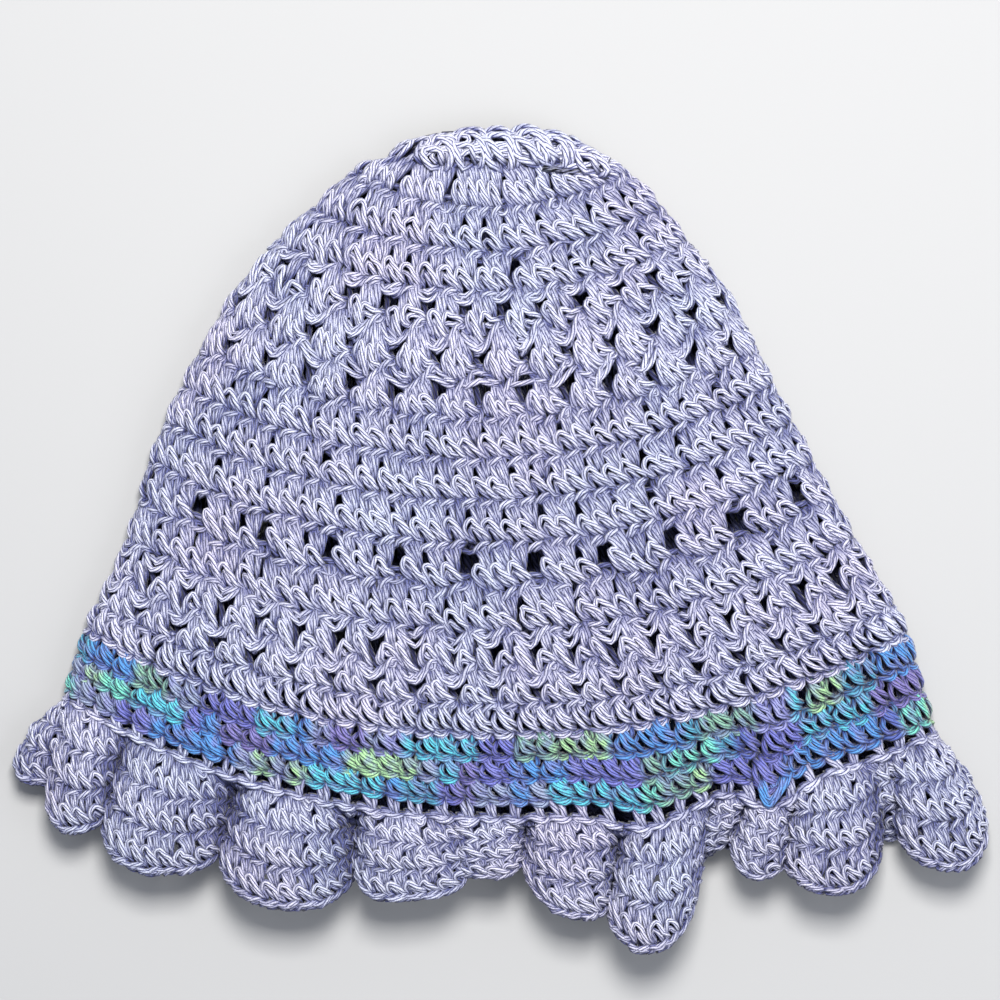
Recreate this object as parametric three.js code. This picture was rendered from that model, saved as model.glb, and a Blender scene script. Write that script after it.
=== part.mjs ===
// A crocheted bucket hat with a ruffled brim, lying flat on its back.
// Millimetres. +X is the hat's left to right, +Y runs from the brim up to the crown, +Z is up from the table.
import * as THREE from 'three';

// Driving sizes.
const WALL = 3.5;
const SEAM = 0.36;
const ROUND_HEIGHT = 7.3;
const ROW_CURVE = 2.1;
const DOME_POWER = 4;
const FOLD_WEIGHT = 2;
const ARC_STEPS = 12;
const RUN_STEPS = 120;

// Columns of each grid around the hat: the brim has two for each one above it.
const COLUMNS = 80;
const RUFFLE_COLUMNS = 2 * COLUMNS;

// Openings worked into the crochet.
const SLITS = 10;
const SHELL_GAPS = 28;
const EYELETS = 20;
const MESH_GAPS = 40;

// One row for each round that is measured: y on the front and back, half width of the outline, x of the axis,
// how far the row's ends rise, height of the front and back layers' middle, and radius of the side folds.
const RING_COLUMNS = ['round', 'frontY', 'backY', 'halfWidth', 'axisX', 'leftRise', 'rightRise', 'frontZ',
  'backZ', 'foldRadius'];
const RING_ROWS = [
  [0, 130.4, 131.4, 6.0, -2.3, 0.0, 0.0, 9.4, 8.8, 0.2],
  [0.5, 127.4, 134.5, 24.0, -2.3, -0.6, -0.6, 9.8, 5.5, 1.9],
  [1, 124.4, 128.0, 35.0, -2.3, -1.0, -1.0, 10.6, 1.75, 3.75],
  [2, 108.6, 112.0, 46.0, -2.6, 9.6, 9.6, 12.8, 1.75, 3.75],
  [3, 94.1, 96.0, 58.4, -3.4, 13.2, 13.2, 14.8, 1.75, 3.75],
  [4, 80.5, 81.5, 68.4, -4.8, 16.1, 16.1, 16.4, 1.75, 3.75],
  [5, 66.7, 67.2, 78.0, -5.4, 18.5, 18.5, 17.6, 1.75, 3.75],
  [6, 52.5, 52.8, 86.0, -5.8, 20.4, 20.4, 18.5, 1.75, 3.75],
  [8, 25.7, 25.7, 98.4, -6.2, 23.3, 23.3, 19.8, 1.75, 3.75],
  [10, -2.0, -2.0, 110.2, -5.2, 26.1, 26.1, 20.5, 1.75, 3.75],
  [11, -16.2, -16.2, 115.4, -3.2, 27.3, 27.3, 20.8, 1.75, 3.75],
  [13, -44.2, -44.2, 127.0, -1.0, 30.3, 30.3, 21.0, 1.75, 3.75],
  [15, -64.7, -64.7, 136.6, 0.0, 32.8, 31.8, 21.0, 1.75, 3.75],
  [16, -72.3, -72.3, 138.9, 0.0, 33.0, 29.7, 21.0, 1.75, 3.75],
  [17, -79.5, -79.5, 141.2, 0.3, 34.3, 27.7, 21.0, 1.75, 3.75],
  [18, -86.5, -86.5, 143.5, 0.8, 35.0, 24.8, 21.0, 1.75, 3.75],
  [19, -93.4, -93.4, 145.5, 1.4, 38.5, 26.4, 20.6, 1.75, 3.75],
];

// Where the front of the band sags under the brim: place, spread and depth at the lowest round.
const SAG_COLUMNS = ['x', 'spread', 'depth'];
const SAG_ROWS = [
  [49, 14, 5.5],
  [76, 9, -2.5],
  [91, 10, 6.5],
];
const SAG_START = 15;
const SAG_END = 19;

// The brim's hem: a lobe for each row, its tip, the notch that follows and how many of the brim's columns it
// takes, left to right on the front.
const LOBE_COLUMNS = ['tipX', 'tipY', 'tipZ', 'notchX', 'notchY', 'notchZ', 'columns'];
const FRONT_LOBES = [
  [-154.5, -83.0, 10.5, -149.5, -86.0, 8.6, 4],
  [-140.6, -98.8, 16.0, -131.2, -92.5, 9.6, 6],
  [-110.0, -112.0, 20.5, -92.0, -103.5, 12.0, 8],
  [-66.0, -123.2, 23.5, -46.8, -108.5, 14.4, 10],
  [-37.0, -120.6, 23.5, -10.0, -113.6, 22.5, 8],
  [0.0, -114.2, 21.5, 8.8, -105.5, 14.4, 4],
  [30.5, -126.8, 22.0, 36.5, -121.5, 17.0, 6],
  [49.0, -136.6, 25.0, 67.5, -105.5, 15.5, 8],
  [71.8, -104.5, 13.8, 76.2, -98.0, 11.0, 2],
  [85.5, -114.5, 19.5, 94.8, -106.5, 11.0, 6],
  [112.8, -118.0, 22.5, 133.0, -99.5, 9.4, 10],
  [149.8, -110.2, 17.0, 163.6, -94.5, 6.0, 8],
];

// The same for the back layer, right to left, ending at the left fold.
const BACK_LOBES = [
  [152.0, -92.0, 3.4, 146.0, -90.0, 1.75, 6],
  [133.0, -103.0, 4.2, 114.0, -99.0, 1.75, 10],
  [94.8, -109.8, 4.6, 77.0, -96.0, 1.75, 10],
  [53.0, -114.0, 4.6, 36.0, -104.0, 1.75, 10],
  [19.0, -110.0, 4.6, -1.0, -103.0, 1.75, 8],
  [-21.0, -110.0, 4.6, -43.0, -103.0, 1.75, 8],
  [-68.0, -114.0, 4.6, -90.0, -101.5, 1.75, 10],
  [-110.0, -103.0, 4.4, -127.0, -90.0, 1.75, 10],
  [-141.0, -90.5, 3.4, -162.0, -74.5, 6.0, 8],
];
const RUFFLE_ROWS = [0, 0.2, 0.45, 0.72, 1];
const CREASE_POWER = 1.4;
const CREASE_START = 0.65;
const LOBE_PUFF = 2.5;

// Middle of the outline before the hat is set on its origin.
const CENTRE = { x: 0.8, y: -0.21 };

function namedRows(columns, rows) {
  return rows.map((row) => Object.fromEntries(columns.map((name, index) => [name, row[index]])));
}

const rings = namedRows(RING_COLUMNS, RING_ROWS);
const sags = namedRows(SAG_COLUMNS, SAG_ROWS);

// A curve through the table's values that never overshoots them.
function monotone(rows, key, at) {
  const last = rows.length - 1;
  let index = 0;
  while (index < last - 1 && at > rows[index + 1].round) {
    index += 1;
  }
  const slopeOf = (i) => (rows[i + 1][key] - rows[i][key]) / (rows[i + 1].round - rows[i].round);
  const tangent = (i) => {
    if (i === 0) {
      return slopeOf(0);
    }
    if (i === last) {
      return slopeOf(last - 1);
    }
    const before = slopeOf(i - 1);
    const after = slopeOf(i);
    return before * after > 0 ? (2 * before * after) / (before + after) : 0;
  };
  const width = rows[index + 1].round - rows[index].round;
  const t = (at - rows[index].round) / width;
  const t2 = t * t;
  const t3 = t2 * t;
  return (2 * t3 - 3 * t2 + 1) * rows[index][key] + (t3 - 2 * t2 + t) * width * tangent(index)
    + (3 * t2 - 2 * t3) * rows[index + 1][key] + (t3 - t2) * width * tangent(index + 1);
}

function ringAt(round) {
  const ring = {};
  for (const name of RING_COLUMNS) {
    ring[name] = name === 'round' ? round : monotone(rings, name, round);
  }
  return ring;
}

function bandSag(round, x) {
  const share = Math.min(Math.max((round - SAG_START) / (SAG_END - SAG_START), 0), 1);
  let sag = 0;
  for (const row of sags) {
    sag += share * row.depth * Math.exp(-(((x - row.x) / row.spread) ** 2));
  }
  return sag;
}

// One half of a flattened round, from fold to fold: side is 1 for the front, left to right, -1 for the back.
function halfSection(ring, side) {
  const reach = ring.halfWidth - WALL / 2;
  const radius = ring.foldRadius;
  const run = reach - radius;
  const middleZ = ring.backZ + radius;
  const domeRise = ring.frontZ - middleZ - radius;
  const path = [];
  for (let step = 0; step < ARC_STEPS; step += 1) {
    const angle = (step / ARC_STEPS) * (Math.PI / 2);
    const x = run + radius * Math.cos(angle);
    path.push([-side * x, middleZ + side * radius * Math.sin(angle), FOLD_WEIGHT]);
  }
  for (let step = 0; step <= RUN_STEPS; step += 1) {
    const across = -1 + (2 * step) / RUN_STEPS;
    const dome = side > 0 ? domeRise * (1 - Math.abs(across) ** DOME_POWER) : 0;
    path.push([side * run * across, middleZ + side * radius + dome, 1]);
  }
  for (let step = ARC_STEPS - 1; step >= 0; step -= 1) {
    const angle = (step / ARC_STEPS) * (Math.PI / 2);
    const x = run + radius * Math.cos(angle);
    path.push([side * x, middleZ + side * radius * Math.sin(angle), FOLD_WEIGHT]);
  }
  const middleY = (ring.frontY + ring.backY) / 2;
  const halfY = (ring.backY - ring.frontY) / 2;
  return path.map(([x, z, weight]) => {
    const across = Math.min(Math.abs(x) / reach, 1);
    const rise = (x < 0 ? ring.leftRise : ring.rightRise) * across ** ROW_CURVE;
    const sag = side > 0 ? bandSag(ring.round, x + ring.axisX) : 0;
    const y = middleY - side * halfY * Math.sqrt(1 - across * across) + rise - sag;
    return { x: x + ring.axisX, y, z, weight };
  });
}

function pathLengths(path) {
  const lengths = [0];
  for (let index = 1; index < path.length; index += 1) {
    const a = path[index - 1];
    const b = path[index];
    const step = Math.hypot(b.x - a.x, b.y - a.y, b.z - a.z);
    lengths.push(lengths[index - 1] + step * (a.weight + b.weight) / 2);
  }
  return lengths;
}

function alongPath(path, lengths, share) {
  const target = share * lengths[lengths.length - 1];
  let index = 1;
  while (index < path.length - 1 && lengths[index] < target) {
    index += 1;
  }
  const t = (target - lengths[index - 1]) / (lengths[index] - lengths[index - 1]);
  const a = path[index - 1];
  const b = path[index];
  return new THREE.Vector3(a.x + (b.x - a.x) * t, a.y + (b.y - a.y) * t, a.z + (b.z - a.z) * t);
}

// A closed round: around(share) gives its point from the left fold over the front and back again.
function roundCurve(round) {
  const ring = ringAt(round);
  const front = halfSection(ring, 1);
  const back = halfSection(ring, -1);
  const frontLengths = pathLengths(front);
  const backLengths = pathLengths(back);
  return (share) => {
    const turn = share - Math.floor(share);
    return turn <= 0.5
      ? alongPath(front, frontLengths, turn * 2)
      : alongPath(back, backLengths, turn * 2 - 1);
  };
}

// Direction out of the cloth, square to the round and turned towards the crown's top near the pole.
function outward(round, share, curve) {
  const step = 0.004;
  const along = curve(share + step).sub(curve(share - step));
  const flat = new THREE.Vector3(-along.z, 0, along.x).normalize();
  const topShare = 1 - THREE.MathUtils.smoothstep(round, 3, 6);
  if (topShare === 0) {
    return flat;
  }
  const rise = 0.25;
  const lower = roundCurve(round + rise)(share);
  const upper = roundCurve(Math.max(round - rise, 0))(share);
  const tilted = along.clone().cross(upper.sub(lower)).normalize();
  return flat.lerp(tilted, topShare).normalize();
}

// A cloth wall over a grid of middle points, closed around. Cells named in gaps are cut through and walled.
function clothWall(middles, normals, gaps, pole) {
  const rows = middles.length;
  const columns = middles[0].length;
  const points = [];
  const faces = [];
  const id = (layer, row, column) => (layer * rows + row) * columns + (column % columns);
  for (const side of [1, -1]) {
    for (let row = 0; row < rows; row += 1) {
      for (let column = 0; column < columns; column += 1) {
        points.push(middles[row][column].clone().addScaledVector(normals[row][column], side * WALL / 2));
      }
    }
  }
  const quad = (a, b, c, d) => faces.push([a, b, c], [a, c, d]);
  for (let row = 0; row < rows - 1; row += 1) {
    for (let column = 0; column < columns; column += 1) {
      const next = column + 1;
      const outer = [id(0, row, column), id(0, row + 1, column), id(0, row + 1, next), id(0, row, next)];
      const inner = [id(1, row, column), id(1, row + 1, column), id(1, row + 1, next), id(1, row, next)];
      if (gaps.has(`${row},${column}`)) {
        for (let edge = 0; edge < 4; edge += 1) {
          const follow = (edge + 1) % 4;
          quad(outer[edge], outer[follow], inner[follow], inner[edge]);
        }
      } else {
        quad(outer[0], outer[1], outer[2], outer[3]);
        quad(inner[3], inner[2], inner[1], inner[0]);
      }
    }
  }
  for (let column = 0; column < columns; column += 1) {
    const next = column + 1;
    const last = rows - 1;
    quad(id(0, last, column), id(1, last, column), id(1, last, next), id(0, last, next));
    if (!pole) {
      quad(id(1, 0, next), id(1, 0, column), id(0, 0, column), id(0, 0, next));
    }
  }
  if (pole) {
    const top = points.push(pole.clone().addScaledVector(new THREE.Vector3(0, 0, 1), WALL / 2)) - 1;
    const under = points.push(pole.clone().addScaledVector(new THREE.Vector3(0, 0, 1), -WALL / 2)) - 1;
    for (let column = 0; column < columns; column += 1) {
      faces.push([top, id(0, 0, column), id(0, 0, column + 1)]);
      faces.push([under, id(1, 0, column + 1), id(1, 0, column)]);
    }
  }
  const geometry = new THREE.BufferGeometry();
  const numbers = points.flatMap((point) => [point.x, point.y, point.z]);
  geometry.setAttribute('position', new THREE.Float32BufferAttribute(numbers, 3));
  geometry.setIndex(faces.flat());
  geometry.computeVertexNormals();
  return geometry;
}

// The grid of the rounds listed, with columns evenly round the hat.
function roundGrid(stations) {
  const middles = [];
  const normals = [];
  for (const round of stations) {
    const curve = roundCurve(round);
    const middleRow = [];
    const normalRow = [];
    for (let column = 0; column < COLUMNS; column += 1) {
      const share = column / COLUMNS;
      middleRow.push(curve(share));
      normalRow.push(outward(round, share, curve));
    }
    middles.push(middleRow);
    normals.push(normalRow);
  }
  return { middles, normals };
}

// Cells of one row of the grid that a number of gaps takes, spread evenly.
function gapCells(row, count) {
  const cells = [];
  for (let gap = 0; gap < count; gap += 1) {
    cells.push(`${row},${Math.floor(((gap + 0.5) * COLUMNS) / count)}`);
  }
  return cells;
}

const seamRounds = SEAM / ROUND_HEIGHT / 2;

function crownShell() {
  const stations = [0.5, 1, 1.22, 1.8, 3, 4, 5, 6.35, 6.75, 8, 9.2, 10.28, 10.8, 12, 13.5, 15 - seamRounds];
  const slitRow = stations.indexOf(1.22);
  const shellRow = stations.indexOf(6.35);
  const eyeletRow = stations.indexOf(10.28);
  const grid = roundGrid(stations);
  const gaps = new Set([
    ...gapCells(slitRow, SLITS),
    ...gapCells(shellRow, SHELL_GAPS),
    ...gapCells(eyeletRow, EYELETS),
  ]);
  const topRing = roundCurve(0);
  const pole = topRing(0.25).add(topRing(0.75)).multiplyScalar(0.5);
  return clothWall(grid.middles, grid.normals, gaps, pole);
}

function bandShell() {
  const grid = roundGrid([15 + seamRounds, 16, 17, 18 - seamRounds]);
  return clothWall(grid.middles, grid.normals, new Set(), null);
}

function meshShell() {
  const grid = roundGrid([18 + seamRounds, 18.3, 18.78, 19 - seamRounds]);
  const gaps = new Set(gapCells(1, MESH_GAPS));
  return clothWall(grid.middles, grid.normals, gaps, null);
}

// Half a lobe's hem, a quarter of an ellipse in plan that sinks into the notch as it turns.
function hemPoint(tip, notch, share) {
  const angle = share * (Math.PI / 2);
  const sink = (1 - Math.cos(angle)) ** CREASE_POWER;
  return new THREE.Vector3(
    tip.x + (notch.x - tip.x) * Math.sin(angle),
    tip.y + (notch.y - tip.y) * (1 - Math.cos(angle)),
    tip.z + (notch.z - tip.z) * sink,
  );
}

// The hem's points for a chain of lobes that starts at the point given.
function hemChain(lobes, start) {
  const chain = [];
  let before = start;
  for (const lobe of lobes) {
    const tip = new THREE.Vector3(lobe.tipX, lobe.tipY, lobe.tipZ);
    const after = new THREE.Vector3(lobe.notchX, lobe.notchY, lobe.notchZ);
    const half = lobe.columns / 2;
    for (let column = 0; column < lobe.columns; column += 1) {
      const share = column / half;
      chain.push(share < 1 ? hemPoint(tip, before, 1 - share) : hemPoint(tip, after, share - 1));
    }
    before = after;
  }
  return chain;
}

function ruffleShell() {
  const front = namedRows(LOBE_COLUMNS, FRONT_LOBES);
  const back = namedRows(LOBE_COLUMNS, BACK_LOBES);
  const leftFold = back[back.length - 1];
  const rightFold = front[front.length - 1];
  const leftPoint = new THREE.Vector3(leftFold.notchX, leftFold.notchY, leftFold.notchZ);
  const rightPoint = new THREE.Vector3(rightFold.notchX, rightFold.notchY, rightFold.notchZ);
  const hem = [...hemChain(front, leftPoint), ...hemChain(back, rightPoint)];
  const { middles, normals } = roundGrid([19 + 2 * seamRounds]);
  const between = (row, column) => {
    const before = row[Math.floor(column / 2)];
    const after = row[Math.ceil(column / 2) % COLUMNS];
    return before.clone().lerp(after, 0.5);
  };
  const grid = { middles: [], normals: [] };
  for (const down of RUFFLE_ROWS) {
    const middleRow = [];
    const normalRow = [];
    for (let column = 0; column < RUFFLE_COLUMNS; column += 1) {
      const top = between(middles[0], column);
      const normal = between(normals[0], column);
      const middle = top.clone().lerp(hem[column], down);
      middle.z = top.z + (hem[column].z - top.z) * down ** CREASE_START;
      const puff = LOBE_PUFF * Math.sin(Math.PI * down) * (1 - Math.max(-normal.z, 0));
      middleRow.push(middle.addScaledVector(normal, puff));
      normalRow.push(normal);
    }
    grid.middles.push(middleRow);
    grid.normals.push(normalRow);
  }
  return clothWall(grid.middles, grid.normals, new Set(), null);
}

function yarn(color, roughness) {
  return new THREE.MeshStandardMaterial({ color, roughness, metalness: 0 });
}

function piece(name, geometry, material) {
  const mesh = new THREE.Mesh(geometry, material);
  mesh.name = name;
  return mesh;
}

const LILAC = 0xb9b6dc;
const LILAC_SHADE = 0xaeaad6;
const TURQUOISE = 0x5fb8cf;

const group = new THREE.Group();
group.position.set(-CENTRE.x, -CENTRE.y, 0);
group.add(
  piece('crown', crownShell(), yarn(LILAC, 0.75)),
  piece('band', bandShell(), yarn(TURQUOISE, 0.75)),
  piece('mesh_round', meshShell(), yarn(LILAC, 0.75)),
  piece('ruffle', ruffleShell(), yarn(LILAC_SHADE, 0.75)),
);

export default group;
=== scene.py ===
"""A crocheted bucket hat with a ruffled brim, lying flat on its back, with every round worked in yarn."""
import math
import bpy
import numpy as np
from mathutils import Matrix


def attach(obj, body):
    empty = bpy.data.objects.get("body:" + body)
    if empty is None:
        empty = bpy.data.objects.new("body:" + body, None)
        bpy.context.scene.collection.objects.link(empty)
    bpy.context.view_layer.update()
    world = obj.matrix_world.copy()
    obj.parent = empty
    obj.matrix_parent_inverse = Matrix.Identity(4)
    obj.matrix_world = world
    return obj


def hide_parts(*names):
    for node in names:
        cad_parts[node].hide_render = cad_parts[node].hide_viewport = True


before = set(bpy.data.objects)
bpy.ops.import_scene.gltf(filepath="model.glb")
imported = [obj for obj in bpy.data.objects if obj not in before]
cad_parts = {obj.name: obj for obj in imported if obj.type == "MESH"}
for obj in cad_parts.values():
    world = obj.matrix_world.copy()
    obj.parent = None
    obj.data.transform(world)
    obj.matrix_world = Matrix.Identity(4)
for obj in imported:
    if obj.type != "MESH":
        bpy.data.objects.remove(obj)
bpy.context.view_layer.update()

MM = 0.001
SEED = 11

# The cloth's surface, from the same measurements as the solids, in millimetres
WALL = 3.5
ROW_CURVE = 2.1
DOME_POWER = 4
FOLD_WEIGHT = 2
ARC_STEPS = 12
RUN_STEPS = 120
CENTRE = np.array([0.8, -0.21, 0.0])
LAST_ROUND = 19
RUFFLE_COLUMNS = 160
CREASE_POWER = 1.4
HEM_RISE_POWER = 0.65
LOBE_PUFF = 2.5

RING_COLUMNS = ("round", "frontY", "backY", "halfWidth", "axisX", "leftRise", "rightRise", "frontZ",
                "backZ", "foldRadius")
RING_ROWS = np.array([
    (0, 130.4, 131.4, 6.0, -2.3, 0.0, 0.0, 9.4, 8.8, 0.2),
    (0.5, 127.4, 134.5, 24.0, -2.3, -0.6, -0.6, 9.8, 5.5, 1.9),
    (1, 124.4, 128.0, 35.0, -2.3, -1.0, -1.0, 10.6, 1.75, 3.75),
    (2, 108.6, 112.0, 46.0, -2.6, 9.6, 9.6, 12.8, 1.75, 3.75),
    (3, 94.1, 96.0, 58.4, -3.4, 13.2, 13.2, 14.8, 1.75, 3.75),
    (4, 80.5, 81.5, 68.4, -4.8, 16.1, 16.1, 16.4, 1.75, 3.75),
    (5, 66.7, 67.2, 78.0, -5.4, 18.5, 18.5, 17.6, 1.75, 3.75),
    (6, 52.5, 52.8, 86.0, -5.8, 20.4, 20.4, 18.5, 1.75, 3.75),
    (8, 25.7, 25.7, 98.4, -6.2, 23.3, 23.3, 19.8, 1.75, 3.75),
    (10, -2.0, -2.0, 110.2, -5.2, 26.1, 26.1, 20.5, 1.75, 3.75),
    (11, -16.2, -16.2, 115.4, -3.2, 27.3, 27.3, 20.8, 1.75, 3.75),
    (13, -44.2, -44.2, 127.0, -1.0, 30.3, 30.3, 21.0, 1.75, 3.75),
    (15, -64.7, -64.7, 136.6, 0.0, 32.8, 31.8, 21.0, 1.75, 3.75),
    (16, -72.3, -72.3, 138.9, 0.0, 33.0, 29.7, 21.0, 1.75, 3.75),
    (17, -79.5, -79.5, 141.2, 0.3, 34.3, 27.7, 21.0, 1.75, 3.75),
    (18, -86.5, -86.5, 143.5, 0.8, 35.0, 24.8, 21.0, 1.75, 3.75),
    (19, -93.4, -93.4, 145.5, 1.4, 38.5, 26.4, 20.6, 1.75, 3.75),
])

# Place, spread and depth of each dip in the band's front
SAG_ROWS = ((49, 14, 5.5), (76, 9, -2.5), (91, 10, 6.5))
SAG_START = 15
SAG_END = 19

# Each lobe of the hem: its tip, the notch after it, its columns and how deep the crease after it folds
FRONT_LOBES = (
    ((-154.5, -83.0, 10.5), (-149.5, -86.0, 8.6), 2, 0.5),
    ((-140.6, -98.8, 16.0), (-131.2, -92.5, 9.6), 6, 0.9),
    ((-110.0, -112.0, 20.5), (-92.0, -103.5, 12.0), 10, 1.0),
    ((-66.0, -123.2, 23.5), (-46.8, -108.5, 14.4), 10, 1.0),
    ((-37.0, -120.6, 23.5), (-10.0, -113.6, 22.5), 8, 0.25),
    ((0.0, -114.2, 21.5), (8.8, -105.5, 14.4), 6, 1.0),
    ((30.5, -126.8, 22.0), (36.5, -121.5, 17.0), 8, 1.0),
    ((49.0, -136.6, 25.0), (66.0, -107.5, 14.5), 8, 0.7),
    ((70.8, -105.5, 13.0), (76.4, -98.5, 8.0), 3, 1.0),
    ((85.5, -114.5, 19.5), (94.8, -106.5, 11.0), 4, 1.0),
    ((111.8, -118.0, 22.5), (127.0, -101.0, 8.0), 8, 1.0),
    ((130.5, -101.0, 4.5), (134.0, -98.5, 7.0), 1, 1.0),
    ((149.8, -110.2, 19.0), (163.6, -94.5, 6.0), 6, 0.0),
)
BACK_LOBES = (
    ((152.0, -92.0, 3.4), (146.0, -90.0, 1.75), 6, 0.0),
    ((133.0, -103.0, 4.2), (114.0, -99.0, 1.75), 10, 0.0),
    ((94.8, -109.8, 4.6), (77.0, -96.0, 1.75), 10, 0.0),
    ((53.0, -114.0, 4.6), (36.0, -104.0, 1.75), 10, 0.0),
    ((19.0, -110.0, 4.6), (-1.0, -103.0, 1.75), 8, 0.0),
    ((-21.0, -110.0, 4.6), (-43.0, -103.0, 1.75), 8, 0.0),
    ((-68.0, -114.0, 4.6), (-90.0, -101.5, 1.75), 10, 0.0),
    ((-110.0, -103.0, 4.4), (-127.0, -90.0, 1.75), 10, 0.0),
    ((-136.0, -86.0, 3.4), (-162.0, -74.5, 6.0), 8, 0.0),
)

# How the brim's cloth folds into the creases between its lobes
LOBE_SQUARENESS = 0.85
RIGHT_FOLD_POWER = 2.2
LEFT_FOLD_POWER = 6
FOLD_START = 0.15
CREASE_Z = 8.0
LOBE_BULGE = 1.2
SIDE_INSET = 1.6
HEM_INSET = 3.2
# Painted shade: how much darker the yarn is drawn by the depth of its crease
CREASE_SHADE = 3.2
# Makes the curve turned ** 2 * (1 - turned) 1 at its highest
BULGE_SCALE = 27 / 4

# The strip at the very top that the raised loops stand on: its upper and lower edges from left to right,
# their heights, how much more it faces up than its curve, and its rows, columns and loops
STRIP_COLUMNS = ("acrossX", "topY", "footY")
STRIP_ROWS = np.array([
    (-29.5, 128.0, 123.4),
    (-24.5, 131.0, 123.2),
    (-18.8, 133.4, 122.6),
    (-8.9, 135.2, 122.2),
    (1.0, 135.8, 122.2),
    (10.9, 135.2, 122.6),
    (20.8, 133.2, 123.0),
    (29.0, 129.6, 122.0),
    (34.0, 126.0, 120.6),
    (38.0, 122.5, 119.6),
])
STRIP_TOP_Z = 7.2
STRIP_FOOT_Z = 11.6
STRIP_UPWARD = 0.3
STRIP_FIRST = -0.2
STRIP_STEP = 0.1
STRIP_DOWN = 15
STRIP_ACROSS = 60
STRIP_LOOPS = 6
STRIP_START = 0.07

# Lookup grids of the surface: steps down and round, how far past the hem, the columns to each side that a
# direction is taken from, how close to its last row a grid is read, and lengths that count as none
ROUND_STEP = 0.05
SHARES = 960
RUFFLE_SHARES = 2 * SHARES
DOWN_STEPS = 60
HEM_STEPS = 4
HEM_SAMPLES = 6000
NORMAL_REACH = 4
ROW_END = 1.001
TINY = 1e-9
TINY_SQUARE = 1e-12

# Where down the brim its columns stand evenly, and how much its directions lean to those at its top
EVEN_AT = 0.75
TOP_LEAN = 0.5


def monotone(rounds, values, at):
    """A curve through the table's values that never overshoots them."""
    slopes = np.diff(values) / np.diff(rounds)
    tangents = np.empty(len(values))
    tangents[0] = slopes[0]
    tangents[-1] = slopes[-1]
    product = slopes[:-1] * slopes[1:]
    total = np.where(slopes[:-1] + slopes[1:] == 0, 1, slopes[:-1] + slopes[1:])
    tangents[1:-1] = np.where(product > 0, 2 * product / total, 0)
    index = np.clip(np.searchsorted(rounds, at) - 1, 0, len(rounds) - 2)
    width = rounds[index + 1] - rounds[index]
    t = (at - rounds[index]) / width
    t2 = t * t
    t3 = t2 * t
    return ((2 * t3 - 3 * t2 + 1) * values[index] + (t3 - 2 * t2 + t) * width * tangents[index]
            + (3 * t2 - 2 * t3) * values[index + 1] + (t3 - t2) * width * tangents[index + 1])


def half_section(ring, side):
    """One half of a flattened round, from fold to fold: side 1 is the front, -1 the back."""
    reach = ring["halfWidth"] - WALL / 2
    radius = ring["foldRadius"]
    run = reach - radius
    middle_z = ring["backZ"] + radius
    dome_rise = ring["frontZ"] - middle_z - radius
    angles = np.arange(ARC_STEPS) / ARC_STEPS * math.pi / 2
    across = np.linspace(-1, 1, RUN_STEPS + 1)
    dome = dome_rise * (1 - np.abs(across) ** DOME_POWER) if side > 0 else np.zeros(RUN_STEPS + 1)
    arc_x = run + radius * np.cos(angles)
    arc_z = middle_z + side * radius * np.sin(angles)
    x = np.concatenate([-side * arc_x, side * run * across, side * arc_x[::-1]])
    z = np.concatenate([arc_z, middle_z + side * radius + dome, arc_z[::-1]])
    weight = np.concatenate([np.full(ARC_STEPS, FOLD_WEIGHT), np.ones(RUN_STEPS + 1),
                             np.full(ARC_STEPS, FOLD_WEIGHT)])
    place = np.minimum(np.abs(x) / reach, 1)
    rise = np.where(x < 0, ring["leftRise"], ring["rightRise"]) * place ** ROW_CURVE
    sag = np.zeros(len(x))
    if side > 0:
        share = min(max((ring["round"] - SAG_START) / (SAG_END - SAG_START), 0), 1)
        for sag_x, spread, depth in SAG_ROWS:
            sag += share * depth * np.exp(-(((x + ring["axisX"] - sag_x) / spread) ** 2))
    middle_y = (ring["frontY"] + ring["backY"]) / 2
    half_y = (ring["backY"] - ring["frontY"]) / 2
    y = middle_y - side * half_y * np.sqrt(1 - place * place) + rise - sag
    return np.stack([x + ring["axisX"], y, z], axis=1), weight


def round_points(at):
    """The middle of the cloth along one round, from the left fold over the front and round the back."""
    ring = {name: float(monotone(RING_ROWS[:, 0], RING_ROWS[:, index], at))
            for index, name in enumerate(RING_COLUMNS)}
    ring["round"] = at
    halves = []
    for side in (1, -1):
        points, weight = half_section(ring, side)
        steps = np.linalg.norm(np.diff(points, axis=0), axis=1) * (weight[1:] + weight[:-1]) / 2
        lengths = np.concatenate([[0], np.cumsum(steps)])
        targets = np.arange(SHARES // 2) / (SHARES // 2) * lengths[-1]
        halves.append(np.stack([np.interp(targets, lengths, points[:, k]) for k in range(3)], axis=1))
    return np.concatenate(halves)


def unit(vectors):
    return vectors / np.maximum(np.linalg.norm(vectors, axis=-1, keepdims=True), TINY)


def grid_normals(points):
    """Direction out of the cloth, with the grid's rows running down and its columns closed around."""
    along = np.roll(points, -NORMAL_REACH, axis=1) - np.roll(points, NORMAL_REACH, axis=1)
    down = np.gradient(points, axis=0)
    return unit(np.cross(along, -down))


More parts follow.
